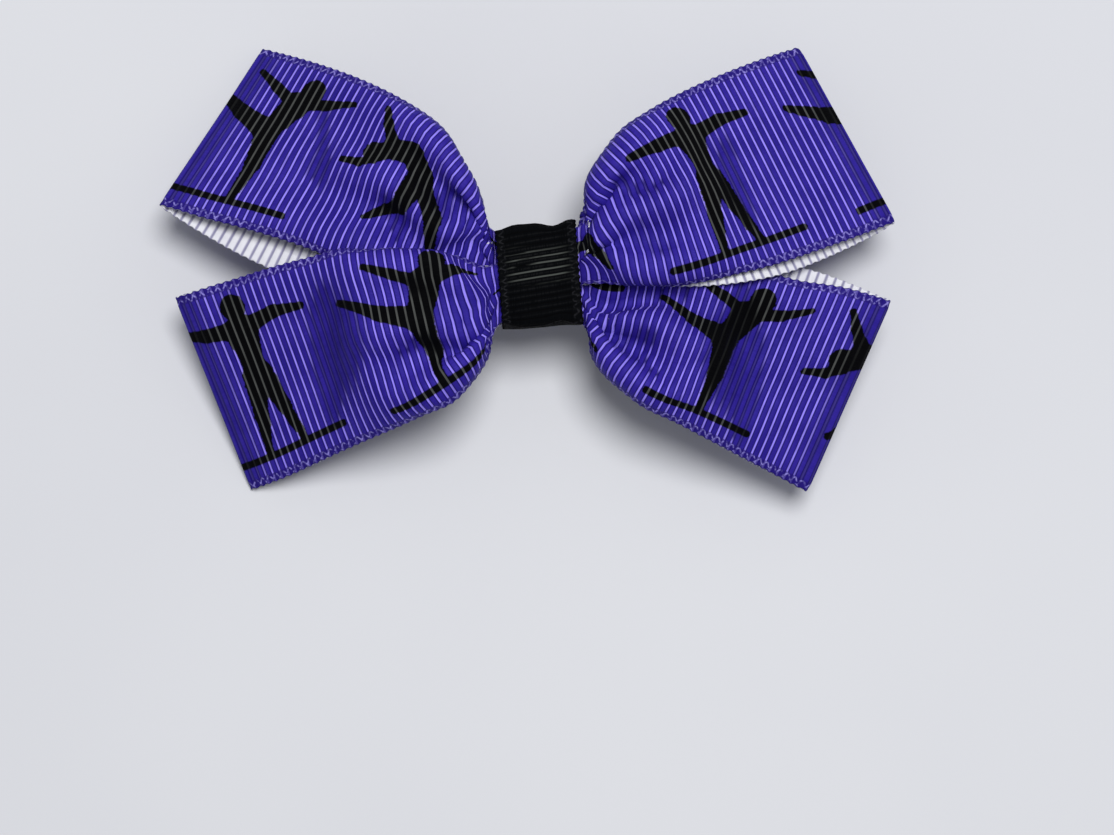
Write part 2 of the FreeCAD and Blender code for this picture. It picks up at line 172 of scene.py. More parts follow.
def build_ring(left, right, z_back, z_front, lengths):
    """Stack the rows of one ribbon band; returns positions, row tags and row spacing."""
    parts, tags, ds = [], [], []

    def add(rows, tag, spacing):
        parts.append(rows)
        tags.extend([tag] * len(rows))
        ds.extend([spacing] * len(rows))

    def add_layer(loop, which, tag, inwards):
        steps = int(round(lengths[tag] / STEP))
        rows = layer(loop, which, steps + 1)
        add(rows[::-1][1:] if inwards else rows, tag, lengths[tag] / steps)

    def add_middle(tag, start, end, keep, z, height):
        steps = int(round(abs(end - start) / STEP))
        xs = np.linspace(start, end, steps + 1)[keep]
        add(pinch_rows(left["exit"], right["exit"], xs, z, height), tag, abs(end - start) / steps)

    add_middle("lap_a", LAP_END_X, -EXIT_X, slice(None, -1), z_back - HALF_LAP, 0.3)
    add_layer(left, "back", "lb", False)
    add_layer(left, "front", "lf", True)
    add_middle("mid", -EXIT_X, EXIT_X, slice(1, -1), z_front, 0.35)
    add_layer(right, "front", "rf", False)
    add_layer(right, "back", "rb", True)
    add_middle("lap_b", EXIT_X, -LAP_END_X, slice(1, None), z_back + HALF_LAP, 0.3)
    return np.concatenate(parts), np.array(tags), np.array(ds)


def settle(rings):
    """Relax both ribbon bands as sheets that bend but don't stretch.

    Each ring holds its points X (rows, across, 3), the row tags and spacing ds, and how each point
    or row moves: w is 0 where it is pinned, hold pulls it to its goal, bend and bend_across are
    stiffness, squash is how far a row may narrow, and mirror pairs the rows of a loop's layers.
    """
    dv = RIBBON_W / (ACROSS - 1)
    for turn in range(ROUNDS):
        ease = 1.0 if turn / ROUNDS < 0.8 else 0.5
        for ring in rings:
            X, w, ds = ring["X"], ring["w"], ring["ds"]
            squash = ring["squash"][:, None]
            # bending: each point is drawn to the middle of its neighbours
            stiff = ring["bend"] * (0.30 if turn % 3 == 0 else 0.15)
            lap = 0.5 * (X[:-2] + X[2:]) - X[1:-1]
            lap *= stiff[1:-1, None, None]
            X[1:-1] += lap * w[1:-1]
            X[:-2] -= 0.5 * lap * w[:-2]
            X[2:] -= 0.5 * lap * w[2:]
            stiff = ring["bend_across"][:, None, None] * 0.15
            lap = 0.5 * (X[:, :-2] + X[:, 2:]) - X[:, 1:-1]
            X[:, 1:-1] += lap * stiff * w
            X[:, :-2] -= 0.5 * lap * stiff * w
            X[:, 2:] -= 0.5 * lap * stiff * w
            X += (ring["goal"] - X) * ring["hold"] * w * ease
            X[..., 2] -= WEIGHT * w[..., 0]
            # lengths along, across and on both diagonals
            for _ in range(3):
                for a, b in NEIGHBOURS:
                    correct(X[a], X[b], w[a], w[b], ds[b, None], ds[b, None])
                for a, b in NEIGHBOURS:
                    correct(X[:, a], X[:, b], w, w, dv * squash, dv)
                for a, b in NEIGHBOURS:
                    rest = np.sqrt(ds[b, None] ** 2 + dv ** 2)
                    least = rest * (0.35 + 0.65 * squash[b])
                    for c, d in NEIGHBOURS:
                        correct(X[a][:, c], X[b][:, d], w[a], w[b], least, rest, 0.4)
                        correct(X[a][:, d], X[b][:, c], w[a], w[b], least, rest, 0.4)
        keep_apart(rings)


def correct(A, B, wa, wb, low, high, share=1.0):
    """Move pairs of points along their line until their distance is between low and high."""
    d = B - A
    L = np.linalg.norm(d, axis=-1)
    target = np.clip(L, low, high)
    total = np.maximum(wa[..., 0] + wb[..., 0], 1e-9)
    f = (share * (L - target) / np.maximum(L, 1e-9) / total)[..., None]
    A += f * wa * d
    B -= f * wb * d


def contact_squares(P):
    """Square of the height map that each point is over."""
    return tuple(np.clip(((P[..., k] + CONTACT_HALF) / CONTACT_CELL).astype(int), 0, CONTACT_CELLS - 1)
                 for k in (0, 1))


def keep_apart(rings):
    """Keep the bands off the table, the clip, their own other layer and each other."""
    for ring in rings:
        X, w = ring["X"], ring["w"][..., 0]
        X[..., 2] += np.maximum(TABLE_GAP - X[..., 2], 0) * w
        over_clip = (np.abs(X[..., 1]) < CLIP_HALF_Y) & (X[..., 0] > CLIP_X[0]) & (X[..., 0] < CLIP_X[1])
        low = CLIP_TOP - X[..., 2]
        X[..., 2] += np.where(over_clip & (low > 0), low * 0.5, 0) * w
        normal = surface_normals(X)
        for back, front, least in ring["mirror"]:
            n = unit(normal[front] - normal[back])
            gap = least[:, None] - ((X[front] - X[back]) * n).sum(-1)
            push = np.clip(gap, 0, 1.0)[..., None] * 0.5 * n
            X[front] += push * ring["w"][front]
            X[back] -= push * ring["w"][back]
    # the front band rides over the rear band
    rear, front = rings
    R, F = rear["X"], front["X"]
    under, over = contact_squares(R), contact_squares(F)
    top = np.full((CONTACT_CELLS, CONTACT_CELLS), -1e3)
    np.maximum.at(top, under, R[..., 2])
    bottom = np.full((CONTACT_CELLS, CONTACT_CELLS), 1e3)
    np.minimum.at(bottom, over, F[..., 2])
    need = top[over] + GAP - F[..., 2]
    F[..., 2] += np.where((need > 0) & (need < 6), 0.35 * need, 0) * front["w"][..., 0]
    need = R[..., 2] + GAP - bottom[under]
    R[..., 2] -= np.where((need > 0) & (need < 6), 0.35 * need, 0) * rear["w"][..., 0]


def prepare(left, right, z_back, z_front, lengths):
    """One band's first guess and all that its relaxation needs; see settle."""
    X, tags, ds = build_ring(left, right, z_back, z_front, lengths)
    lb, lf, rf, rb = [np.where(tags == tag)[0] for tag in ("lb", "lf", "rf", "rb")]
    middle = np.isin(tags, ["lap_a", "lap_b", "mid"])
    w = np.where(middle, 0.0, 1.0)
    w[[lb[0], lf[-1], rf[0], rb[-1]]] = 0.0
    hold = np.full(X.shape, 0.004)
    hold[..., 2] = 0.002
    for rows, pull in ((lf, 0.12), (rf, 0.12), (lb, 0.03), (rb, 0.03)):
        for edge in (0, -1):
            hold[rows, edge, :2] = pull
    bend, bend_across, squash = np.ones((3, len(X)))
    for fold in (lb[-1], rf[-1]):
        hold[fold] = 0.25
        bend[fold] = 0.12
        bend[[fold - 1, fold + 1]] = 0.6
    for rows in (lb, lf[::-1], rf, rb[::-1]):
        from_wrap = np.arange(len(rows)) * STEP
        squash[rows] = np.clip(0.25 + from_wrap / 9.0, 0, 1)
        bend_across[rows] = np.clip(from_wrap / 9.0, 0.1, 1)
    squash[middle] = 0.2
    mirror = []
    for back, front in ((lb, lf[::-1]), (rb[::-1], rf)):
        count = min(len(back), len(front)) - 1
        from_fold = np.arange(count, 0, -1) * STEP
        least = np.interp(from_fold, (1.1, 2.2, 3.3, 4.4, 6.6), (1.4, 1.7, 1.5, 1.2, 0.5))
        mirror.append((back[-1 - count:-1], front[-1 - count:-1], least))
    return dict(X=X, tags=tags, ds=ds, goal=X.copy(), hold=hold, w=w[:, None, None], bend=bend,
                squash=squash, bend_across=bend_across, mirror=mirror)


def make_rings():
    """Both bands relaxed; heights of the tied middle and lengths of the layers in millimetres."""
    rear = prepare(LOOPS["rear_left"], LOOPS["rear_right"], 10.9, 11.75,
                   dict(lf=38.0, lb=37.0, rf=33.2, rb=32.6))
    front = prepare(LOOPS["front_left"], LOOPS["front_right"], 12.6, 13.6,
                    dict(lf=37.4, lb=35.2, rf=36.0, rb=34.5))
    settle([rear, front])
    return rear, front


# ---- mesh helpers

def spline_matrix(x, xq):
    """Matrix that evaluates a natural cubic spline with knots x at the points xq."""
    n = len(x)
    h = np.diff(x)
    A, B = np.zeros((n, n)), np.zeros((n, n))
    A[0, 0] = A[-1, -1] = 1
    for i in range(1, n - 1):
        A[i, i - 1:i + 2] = h[i - 1], 2 * (h[i - 1] + h[i]), h[i]
        B[i, i - 1:i + 2] = 6 / h[i - 1], -6 / h[i - 1] - 6 / h[i], 6 / h[i]
    M = np.linalg.solve(A, B)
    k = np.clip(np.searchsorted(x, xq) - 1, 0, n - 2)
    a = (x[k + 1] - xq) / h[k]
    b = 1 - a
    E = np.zeros((len(xq), n))
    rows = np.arange(len(xq))
    E[rows, k] += a
    E[rows, k + 1] += b
    E += ((a ** 3 - a) * h[k] ** 2 / 6)[:, None] * M[k]
    E += ((b ** 3 - b) * h[k] ** 2 / 6)[:, None] * M[k + 1]
    return E


def add_object(name, data):
    """Put a mesh, lamp or camera into the scene."""
    obj = bpy.data.objects.new(name, data)
    bpy.context.scene.collection.objects.link(obj)
    return obj


def set_cloth(mesh, flat, corners):
    """Store the millimetres along and across the cloth at each corner of the faces."""
    cloth = mesh.uv_layers.new(name="cloth")
    cloth.data.foreach_set("uv", flat[corners].astype(np.float32).ravel())


def set_values(mesh, name, values):
    """Store a number at each point."""
    stored = mesh.attributes.new(name, "FLOAT", "POINT")
    stored.data.foreach_set("value", values.astype(np.float32))


def slab_mesh(name, outer, inner, u, v):
    """Closed strip of cloth from the points of its two faces; u and v are its own millimetres."""
    n, m = outer.shape[:2]
    points = np.concatenate([outer.reshape(-1, 3), inner.reshape(-1, 3)]) * MM
    top = np.arange(n * m).reshape(n, m)
    low = top + n * m
    quads = [np.stack([top[:-1, :-1], top[1:, :-1], top[1:, 1:], top[:-1, 1:]], -1).reshape(-1, 4),
             np.stack([low[:-1, :-1], low[:-1, 1:], low[1:, 1:], low[1:, :-1]], -1).reshape(-1, 4)]
    for side, turned in ((np.s_[:, 0], 1), (np.s_[:, -1], -1), (np.s_[0], -1), (np.s_[-1], 1)):
        a, b = top[side], low[side]
        quads.append(np.stack([a[:-1], b[:-1], b[1:], a[1:]], -1)[:, ::turned])
    faces = np.concatenate(quads)
    mesh = bpy.data.meshes.new(name)
    mesh.vertices.add(len(points))
    mesh.vertices.foreach_set("co", points.astype(np.float32).ravel())
    mesh.loops.add(faces.size)
    mesh.loops.foreach_set("vertex_index", faces.astype(np.int32).ravel())
    mesh.polygons.add(len(faces))
    mesh.polygons.foreach_set("loop_start", np.arange(0, faces.size, 4, dtype=np.int32))
    mesh.polygons.foreach_set("use_smooth", np.ones(len(faces), bool))
    mesh.update(calc_edges=True)
    U, W = np.meshgrid(u, v, indexing="ij")
    flat = np.stack([np.tile(U.ravel(), 2), np.tile(W.ravel(), 2)], -1)
    set_cloth(mesh, flat, faces.ravel())
    set_values(mesh, "inside", np.repeat([0.0, 1.0], n * m))
    mesh.validate()
    return add_object(name, mesh)


def tube_faces(index):
    """Quads between the rings of a tube; index[ring, place] numbers its points."""
    turned = np.roll(index, -1, axis=1)
    return np.stack([index[:-1], turned[:-1], turned[1:], index[1:]], -1).reshape(-1, 4).tolist()


def tube_mesh(name, points, radius, sides):
    """Round wire along the given points (mm), with u along it and v running round it."""
    tangent = unit(np.gradient(points, axis=0))
    side = unit(np.cross(tangent[0], (0.3, 0.9, 0.2)))
    a = np.linspace(0, 2 * np.pi, sides, endpoint=False)[:, None]
    rings = []
    for p, t in zip(points, tangent):
        side = unit(side - t * np.dot(side, t))
        rings.append(p + radius * (np.cos(a) * side + np.sin(a) * np.cross(t, side)))
    n = len(points)
    index = np.arange(n * sides).reshape(n, sides)
    faces = tube_faces(index) + [index[0, ::-1].tolist(), index[-1].tolist()]
    mesh = bpy.data.meshes.new(name)
    mesh.from_pydata((np.array(rings).reshape(-1, 3) * MM).tolist(), [], faces)
    mesh.update()
    flat = np.stack([np.repeat(lengths_along(points), sides), np.tile(np.arange(sides) / sides, n)], -1)
    corners = np.zeros(len(mesh.loops), np.int32)
    mesh.loops.foreach_get("vertex_index", corners)
    set_cloth(mesh, flat, corners)
    for polygon in mesh.polygons:
        polygon.use_smooth = len(polygon.vertices) == 4
    return add_object(name, mesh)


# ---- material helpers

class Nodes:
    """Small builder for node trees."""

    def __init__(self, tree):
        self.tree = tree

    def fill(self, node, values):
        """Link a socket, or set a plain value, on each named input of a node."""
        for key, value in values.items():
            if isinstance(value, bpy.types.NodeSocket):
                self.tree.links.new(value, node.inputs[key])
            else:
                node.inputs[key].default_value = value

    def add(self, kind, values=None, **settings):
        node = self.tree.nodes.new(kind)
        for key, value in settings.items():
            setattr(node, key, value)
        self.fill(node, values or {})
        return node

    def math(self, operation, a, b=0.0, c=0.0, clamp=False):
        return self.add("ShaderNodeMath", {0: a, 1: b, 2: c}, operation=operation,
                        use_clamp=clamp).outputs[0]

    def plus(self, a, b):
        return self.math("ADD", a, b)

    def minus(self, a, b):
        return self.math("SUBTRACT", a, b)

    def times(self, a, b):
        return self.math("MULTIPLY", a, b)

    def over(self, a, b):
        return self.math("DIVIDE", a, b)

    def zigzag(self, value):
        """From 0 up to 0.5 and back over each 1 of the value."""
        return self.math("PINGPONG", value, 0.5)

    def smooth(self, value, low, high, to_low=0.0, to_high=1.0):
        """Smooth step of a value from low to high, onto another range."""
        return self.add("ShaderNodeMapRange", {"Value": value, "From Min": low, "From Max": high,
                                               "To Min": to_low, "To Max": to_high},
                        interpolation_type="SMOOTHSTEP").outputs["Result"]

    def mix(self, factor, a, b):
        """Blend two colours."""
        a, b = [(*c, 1) if isinstance(c, tuple) else c for c in (a, b)]
        return self.add("ShaderNodeMix", {"Factor": factor, 6: a, 7: b}, data_type="RGBA").outputs[2]

    def attribute(self, name):
        return self.add("ShaderNodeAttribute", attribute_name=name).outputs["Fac"]

    def noise(self, place, scale, detail, **more):
        values = {"Vector": place, "Scale": scale, "Detail": detail, **more}
        return self.add("ShaderNodeTexNoise", values).outputs[0]

    def bump(self, height, strength, distance):
        return self.add("ShaderNodeBump", {"Height": height, "Strength": strength,
                                           "Distance": distance}).outputs[0]


def new_material(name):
    """A material with its node builder and its shader."""
    material = bpy.data.materials.new(name)
    material.use_nodes = True
    return material, Nodes(material.node_tree), material.node_tree.nodes["Principled BSDF"]


def capsule_group():
    """Distance from a point to a rounded line that tapers, for drawing the print's figures."""
    tree = bpy.data.node_groups.new("rounded_line", "ShaderNodeTree")
    for label, kind in (("P", "Vector"), ("A", "Vector"), ("B", "Vector"), ("R", "Float"), ("R2", "Float")):
        tree.interface.new_socket(label, in_out="INPUT", socket_type="NodeSocket" + kind)
    tree.interface.new_socket("D", in_out="OUTPUT", socket_type="NodeSocketFloat")
    n = Nodes(tree)
    given = n.add("NodeGroupInput").outputs

    def vec(operation, a, key=1, b=None, result="Vector"):
        values = {0: a} if b is None else {0: a, key: b}
        return n.add("ShaderNodeVectorMath", values, operation=operation).outputs[result]

    to_point = vec("SUBTRACT", given["P"], 1, given["A"])
    line = vec("SUBTRACT", given["B"], 1, given["A"])
    along = n.math("DIVIDE", vec("DOT_PRODUCT", to_point, 1, line, "Value"),
                   vec("DOT_PRODUCT", line, 1, line, "Value"), clamp=True)
    rest = vec("SUBTRACT", to_point, 1, vec("SCALE", line, "Scale", along))
    radius = n.plus(given["R"], n.times(along, n.minus(given["R2"], given["R"])))
    distance = n.minus(vec("LENGTH", rest, result="Value"), radius)
    tree.links.new(distance, n.add("NodeGroupOutput").inputs["D"])
    return tree


# Generic gymnasts for the print, as tapering rounded lines in millimetres: (along, across) of both
# ends, then the radius at each end.
BEAM_STAND = [((0, 8.2), (0, 8.25), 1.25, 1.2), ((0, 6.3), (0, 7.2), 0.55, 0.5),
              ((0, 5.3), (0, 2.0), 1.75, 1.1), ((0, 2.0), (0, 0.7), 1.1, 1.45),
              ((-0.9, 5.8), (-4.2, 6.2), 0.85, 0.6), ((-4.2, 6.2), (-7.6, 7.0), 0.6, 0.35),
              ((0.9, 5.8), (4.4, 6.4), 0.85, 0.6), ((4.4, 6.4), (7.8, 6.1), 0.6, 0.35),
              ((-0.5, 0.5), (-1.3, -3.8), 1.2, 0.75), ((-1.3, -3.8), (-1.9, -7.8), 0.75, 0.4),
              ((0.5, 0.5), (1.7, -3.6), 1.2, 0.75), ((1.7, -3.6), (2.7, -7.8), 0.75, 0.4),
              ((-7.8, -8.5), (8.0, -8.2), 0.34, 0.34)]
ARABESQUE = [((2.6, 7.6), (2.6, 7.65), 1.25, 1.2), ((1.9, 5.9), (2.4, 6.8), 0.55, 0.5),
             ((1.5, 5.3), (0.1, 1.4), 1.5, 1.15),
             ((1.8, 5.5), (5.0, 6.4), 0.75, 0.55), ((5.0, 6.4), (8.0, 7.7), 0.55, 0.3),
             ((1.2, 5.3), (-1.8, 6.8), 0.7, 0.5), ((-1.8, 6.8), (-4.6, 8.2), 0.5, 0.3),
             ((0.0, 1.2), (-4.0, 2.6), 1.25, 0.8), ((-4.0, 2.6), (-8.4, 4.9), 0.8, 0.35),
             ((0.1, 1.0), (0.6, -3.4), 1.25, 0.8), ((0.6, -3.4), (0.3, -8.0), 0.75, 0.4),
             ((-6.2, -8.6), (6.5, -8.4), 0.34, 0.34)]
RING_LEAP = [((-4.7, 3.2), (-4.75, 3.2), 1.25, 1.2), ((-3.9, 3.9), (-3.1, 4.4), 0.6, 0.7),
             ((-3.0, 4.4), (-0.4, 5.2), 1.15, 1.2), ((-0.4, 5.2), (1.7, 3.6), 1.2, 1.35),
             ((-2.8, 4.9), (-4.6, 7.0), 0.7, 0.5), ((-4.6, 7.0), (-5.8, 8.8), 0.5, 0.3),
             ((-2.8, 4.0), (-5.8, 1.4), 0.65, 0.45), ((-5.8, 1.4), (-8.2, 0.8), 0.45, 0.3),
             ((1.8, 3.2), (4.6, -0.8), 1.25, 0.8), ((4.6, -0.8), (5.8, -6.8), 0.75, 0.35),
             ((1.5, 3.0), (0.6, -1.6), 1.25, 0.8), ((0.6, -1.6), (-2.8, -4.8), 0.75, 0.35)]
FIGURE_WEIGHT = 1.15  # thickens every figure
PRINT_REPEAT = 59.0  # mm along the ribbon
FIGURES = [(BEAM_STAND, 0.0), (ARABESQUE, 21.0), (RING_LEAP, 39.0)]


def print_mask(n, along, across, group):
    """1 where the repeating figures are printed."""
    nearest = None
    for figure, place in FIGURES:
        shifted = n.minus(along, place - PRINT_REPEAT / 2)
        local = n.minus(n.math("FLOORED_MODULO", shifted, PRINT_REPEAT), PRINT_REPEAT / 2)
        here = n.add("ShaderNodeCombineXYZ", {"X": local, "Y": across}).outputs[0]
        for start, end, radius, end_radius in figure:
            line = n.add("ShaderNodeGroup", node_tree=group)
            n.fill(line, {"P": here, "A": (*start, 0), "B": (end[0] + 0.001, end[1], 0),
                          "R": FIGURE_WEIGHT * radius, "R2": FIGURE_WEIGHT * end_radius})
            distance = line.outputs["D"]
            nearest = distance if nearest is None else n.math("SMOOTH_MIN", nearest, distance, 0.5)
    return n.smooth(nearest, 0.10, -0.06)


# ---- woven strips

PRINTED_RIB = 0.93  # rib spacing of the printed ribbon, mm
BLACK_RIB = 0.70  # rib spacing of the narrow black ribbon, mm
RIB_PHASE = np.array([0.0, 0.08, 0.16, 0.30, 0.50, 0.70, 0.84, 0.92])
RIB_RISE = np.array([0.0, 0.08, 0.70, 0.95, 1.0, 0.95, 0.70, 0.08])
SELVEDGE = 1.0  # width of the smooth woven edge, mm
EDGE_COLUMNS = np.array([0.0, 0.12, 0.38, 0.68, 0.98])
INSIDE_START = 1.8  # where the evenly spaced columns begin, mm from the edge


def rib_rows(length, rib):
    """Row positions along a ribbon, denser in the grooves between its ribs."""
    rows = (np.arange(int(length / rib) + 1)[:, None] + RIB_PHASE).ravel() * rib
    return np.append(rows[rows < length - 0.02], length)


def across_columns(width, middle):
    """Column positions across a ribbon, denser at its edges."""
    edge = width / 2 - EDGE_COLUMNS
    inside = np.linspace(-(width / 2 - INSIDE_START), width / 2 - INSIDE_START, middle)
    return np.concatenate([-edge, inside, edge[::-1]])


def smooth_step(x):
    """Ease a share from 0 to 1 at both ends."""
    return x * x * (3 - 2 * x)


def straighten_ribs(surface, v, from_fold):
    """Lay each rib straight between its edges near the end fold, easing off towards the wrap."""
    share = ((v - v[0]) / (v[-1] - v[0]))[None, :, None]
    straight = surface[:, :1] + share * (surface[:, -1:] - surface[:, :1])
    hold = smooth_step(np.interp(from_fold, (0, 14, 25), (1, 1, 0))[:, None])
    surface[..., :2] += hold[..., None] * (straight - surface)[..., :2]
    surface[..., 2] += 0.55 * hold * (straight - surface)[..., 2]


LIFT_CELL = 0.4  # squares of the height map between a loop's layers, mm
LIFT_REACH = 130  # squares from the centre to the map's edge


def lift_off(surface, front, back):
    """Raise the rows of a loop's front layer wherever they would dip into its back layer."""
    columns = surface.shape[1]
    finer = spline_matrix(np.arange(columns), np.linspace(0, columns - 1, 75))
    lower = np.einsum("wv,uvk->uwk", finer, surface[back])
    top = np.full((2 * LIFT_REACH, 2 * LIFT_REACH), -1e3)
    place = np.round(lower[..., :2] / LIFT_CELL).astype(int) + LIFT_REACH
    np.maximum.at(top, (place[..., 0], place[..., 1]), lower[..., 2])
    place = np.round(surface[front][..., :2] / LIFT_CELL).astype(int) + LIFT_REACH
    near = [top[place[..., 0] + i, place[..., 1] + j] for i in (-1, 0, 1) for j in (-1, 0, 1)]
    lift = np.maximum(np.max(near, axis=0) + GAP - surface[front][..., 2], 0)
    for _ in range(6):
        wide = np.pad(lift, 1, mode="edge")
        blurred = (wide[:-2, 1:-1] + wide[2:, 1:-1] + wide[1:-1, :-2] + wide[1:-1, 2:]) / 4
        lift = np.maximum(lift, blurred)
    surface[front, :, 2] += lift


# Where the tied middle draws both bands sideways, or lets them bulge: centre, shift along X, and
# reach along X and Y.
NECK_PULLS = [((4.8, 2.0), -0.8, 2.5, 9.0), ((-4.8, -4.0), 0.8, 2.5, 4.5),
              ((-6.5, 11.0), -0.9, 4.0, 4.0)]


def draw_in(surface):
    """Move a band sideways near the wrap, by plan position only, so its layers keep their order."""
    x, y = surface[..., 0].copy(), surface[..., 1]
    for (middle_x, middle_y), shift, reach_x, reach_y in NECK_PULLS:
        away = ((x - middle_x) / reach_x) ** 2 + ((y - middle_y) / reach_y) ** 2
        surface[..., 0] += shift * np.exp(-away)


UPPER_CORNER_DROP, LOWER_CORNER_DROP = 1.75, 2.65
CORNER_X, CORNER_Y = 31.0, 23.0  # about where the left loops' outer corners lie
DROP_START_X = 8.0


def rest_corners(surface):
    """Let the left loops' outer corners down onto the table, by plan position only."""
    outwards = np.clip((-surface[..., 0] - DROP_START_X) / (CORNER_X - DROP_START_X), 0, 1)
    sideways = np.clip(np.abs(surface[..., 1]) / CORNER_Y, 0, 1)
    drop = np.where(surface[..., 1] > 0, UPPER_CORNER_DROP, LOWER_CORNER_DROP)
    for share in (outwards, sideways):
        drop = drop * share * share * (3 - 2 * share)
    surface[..., 2] -= drop


def groove_opening(surface, u, folds):
    """1 where the ribs stand apart, 0 where the ribbon bends inwards or nears an end fold."""
    bend = -(np.gradient(np.gradient(surface, u, axis=0), u, axis=0) * surface_normals(surface)).sum(-1)
    window = np.hanning(27) / np.hanning(27).sum()
    bend = np.stack([np.convolve(column, window, "same") for column in bend.T], 1)
    opening_and_glint = np.clip((bend + 0.12) / 0.10, 0, 1)
    from_wrap = np.linalg.norm(surface[..., :2], axis=-1)
    opening_and_glint = np.maximum(opening_and_glint, np.interp(from_wrap, (9.0, 14.0), (1.0, 0.0)))
    for fold, reach in folds:
        opening_and_glint *= np.clip((np.abs(u - fold) - 0.3 * reach) / (0.7 * reach), 0, 1)[:, None]
    for (x, y), height, reach_x, reach_y in RISES.values():
        away = ((surface[..., 0] - x) / reach_x) ** 2 + ((surface[..., 1] - y) / reach_y) ** 2
        steep = np.clip((abs(height) - 0.6) / 1.2, 0, 1)
        opening_and_glint *= 1 - steep * np.exp(-away ** 2)
    return smooth_step(opening_and_glint)


def woven_strip(name, centre, u, v, rib, half, depth, seed, opening_and_glint=None):
    """Ribbed ribbon about the surface centre[row, column]; sizes in millimetres."""
    rng = np.random.default_rng(seed)
    normal = surface_normals(centre)
    across = unit(np.gradient(centre, axis=1))
    along = unit(np.gradient(centre, axis=0))
    width = v[-1] - v[0]
    edge = width / 2 - np.abs(v)
    body = np.clip(edge / SELVEDGE, 0, 1) ** 2
    rise = np.interp((u / rib) % 1.0, np.append(RIB_PHASE, 1.0), np.append(RIB_RISE, 0.0))
    fullness = (1 + 0.10 * rng.standard_normal(int(u[-1] / rib) + 2))[(u / rib).astype(int)]
    turn = 2 * np.pi * u / rib
    loops = 0.5 + 0.5 * np.cos(turn[:, None] + 5.0 * edge)
    rounding = np.interp(edge, [0, 0.12, 0.38], [0.35, 0.85, 1.0])
    thick = half * rounding + depth * (rise * fullness)[:, None] * body
    thick += 0.5 * depth * loops * (1 - body) * rounding
    outline = np.where(edge < 0.2, np.sign(v), 0.0) * 0.07 * np.cos(turn)[:, None]
    slow = np.interp(u, np.linspace(0, u[-1], 40), 0.05 * rng.standard_normal(40))
    sway = slow[:, None] * np.cos(np.pi * v / width)
    middle = centre + across * outline[..., None] + along * sway[..., None]
    offset = normal * thick[..., None]
    strip = slab_mesh(name, middle + offset, middle - offset, u, v)
    if opening_and_glint is not None:
        set_values(strip.data, "opening_and_glint", np.tile(opening_and_glint.ravel(), 2))
    return strip


# Pressed-in folds of each loop's front layer, in plan: a valley along a line from the wrap outwards,
# as points, depth, and how far its outer side stands up; and a steep rise, as centre, height
# (towards +X), reach along X and reach along Y.
VALLEYS = {
    "rear_left": (((-5.2, 3.4), (-8.4, 5.8), (-13.6, 8.7)), 1.5, 0.25),
    "rear_right": (((5.4, -2.6), (8.6, -6.9), (12.8, -11.1), (14.6, -14.2)), 1.3, 0.6),
    "front_left": (((-5.3, -2.2), (-8.3, -5.3), (-12.5, -6.8), (-16.2, -9.6)), 1.6, 0.2),
    "front_right": (((5.0, 5.6), (8.5, 7.8), (15.4, 10.4)), 1.5, 0.25),
}
RISES = {
    "rear_right": ((20.3, -9.0), -2.0, 3.6, 6.5),
    "front_left": ((-21.0, -7.5), 1.8, 3.0, 6.0),
    "rear_left": ((-22.0, 14.0), 0.5, 3.0, 6.0),
    "front_right": ((19.0, 9.0), -0.6, 3.0, 5.0),
}
VALLEY_WIDTH, LIP_WIDTH, RISE_WIDTH = 0.9, 1.6, 1.3


def press_folds(surface, rows, loop):
    """Add a loop's valley and rise to the height of its front layer, given by its rows."""
    points, depth, lip = VALLEYS[loop]
    points = np.array(points)
    P = surface[rows]
    best = np.full(P.shape[:2], 1e9)
    signed, place = np.zeros((2, *P.shape[:2]))
    before = lengths_along(points)
    outward = np.sign(points[-1, 1] - points[0, 1]) * np.sign(points[-1, 0])
    for a, b, start in zip(points[:-1], points[1:], before):
        length = np.linalg.norm(b - a)
        d = (b - a) / length
        away = P[..., :2] - a
        t = np.clip(away @ d, -2 if start == 0 else 0, length)
        distance = np.linalg.norm(away - t[..., None] * d, axis=-1)
        near = distance < best
        best = np.where(near, distance, best)
        side = np.sign(d[0] * away[..., 1] - d[1] * away[..., 0]) * outward
        signed = np.where(near, distance * side, signed)
        place = np.where(near, (start + t) / before[-1], place)
    deep = depth * np.interp(place, (-0.1, 0.0, 0.25, 0.5, 1.0), (0.0, 0.15, 0.85, 1.0, 0.0))
    P[..., 2] -= deep * np.exp(-np.abs(signed) / VALLEY_WIDTH)
    P[..., 2] += lip * deep * np.where(signed > 0, np.exp(-signed / LIP_WIDTH), 0)
    (x, y), height, reach_x, reach_y = RISES[loop]
    dx, dy = P[..., 0] - x, P[..., 1] - y
    fade = np.exp(-(dx / (2 * reach_x)) ** 2 - (dy / reach_y) ** 2)
    P[..., 2] += height * np.tanh(dx / RISE_WIDTH) * fade
    surface[rows] = P


# ---- materials

def srgb(r, g, b):
    """Linear colour from 0-255 display values."""
    c = np.array([r, g, b]) / 255
    return tuple(float(x) for x in np.where(c <= 0.04045, c / 12.92, ((c + 0.055) / 1.055) ** 2.4))


def new_cloth(name):
    """A new material whose node builder knows the millimetres along and across the ribbon."""
    material, n, shader = new_material(name)
    uv = n.add("ShaderNodeUVMap", uv_map="cloth").outputs[0]
    parts = n.add("ShaderNodeSeparateXYZ", {0: uv}).outputs
    n.along, n.across = parts["X"], parts["Y"]
    return material, n, shader


def weave_noise(n, scale_along, scale_across, detail=3.0):
    """Noise with its own scale in each direction of the ribbon."""
    place = n.add("ShaderNodeCombineXYZ", {"X": n.times(n.along, scale_along),
                                           "Y": n.times(n.across, scale_across)})
    return n.noise(place.outputs[0], 1.0, detail, Roughness=0.6)


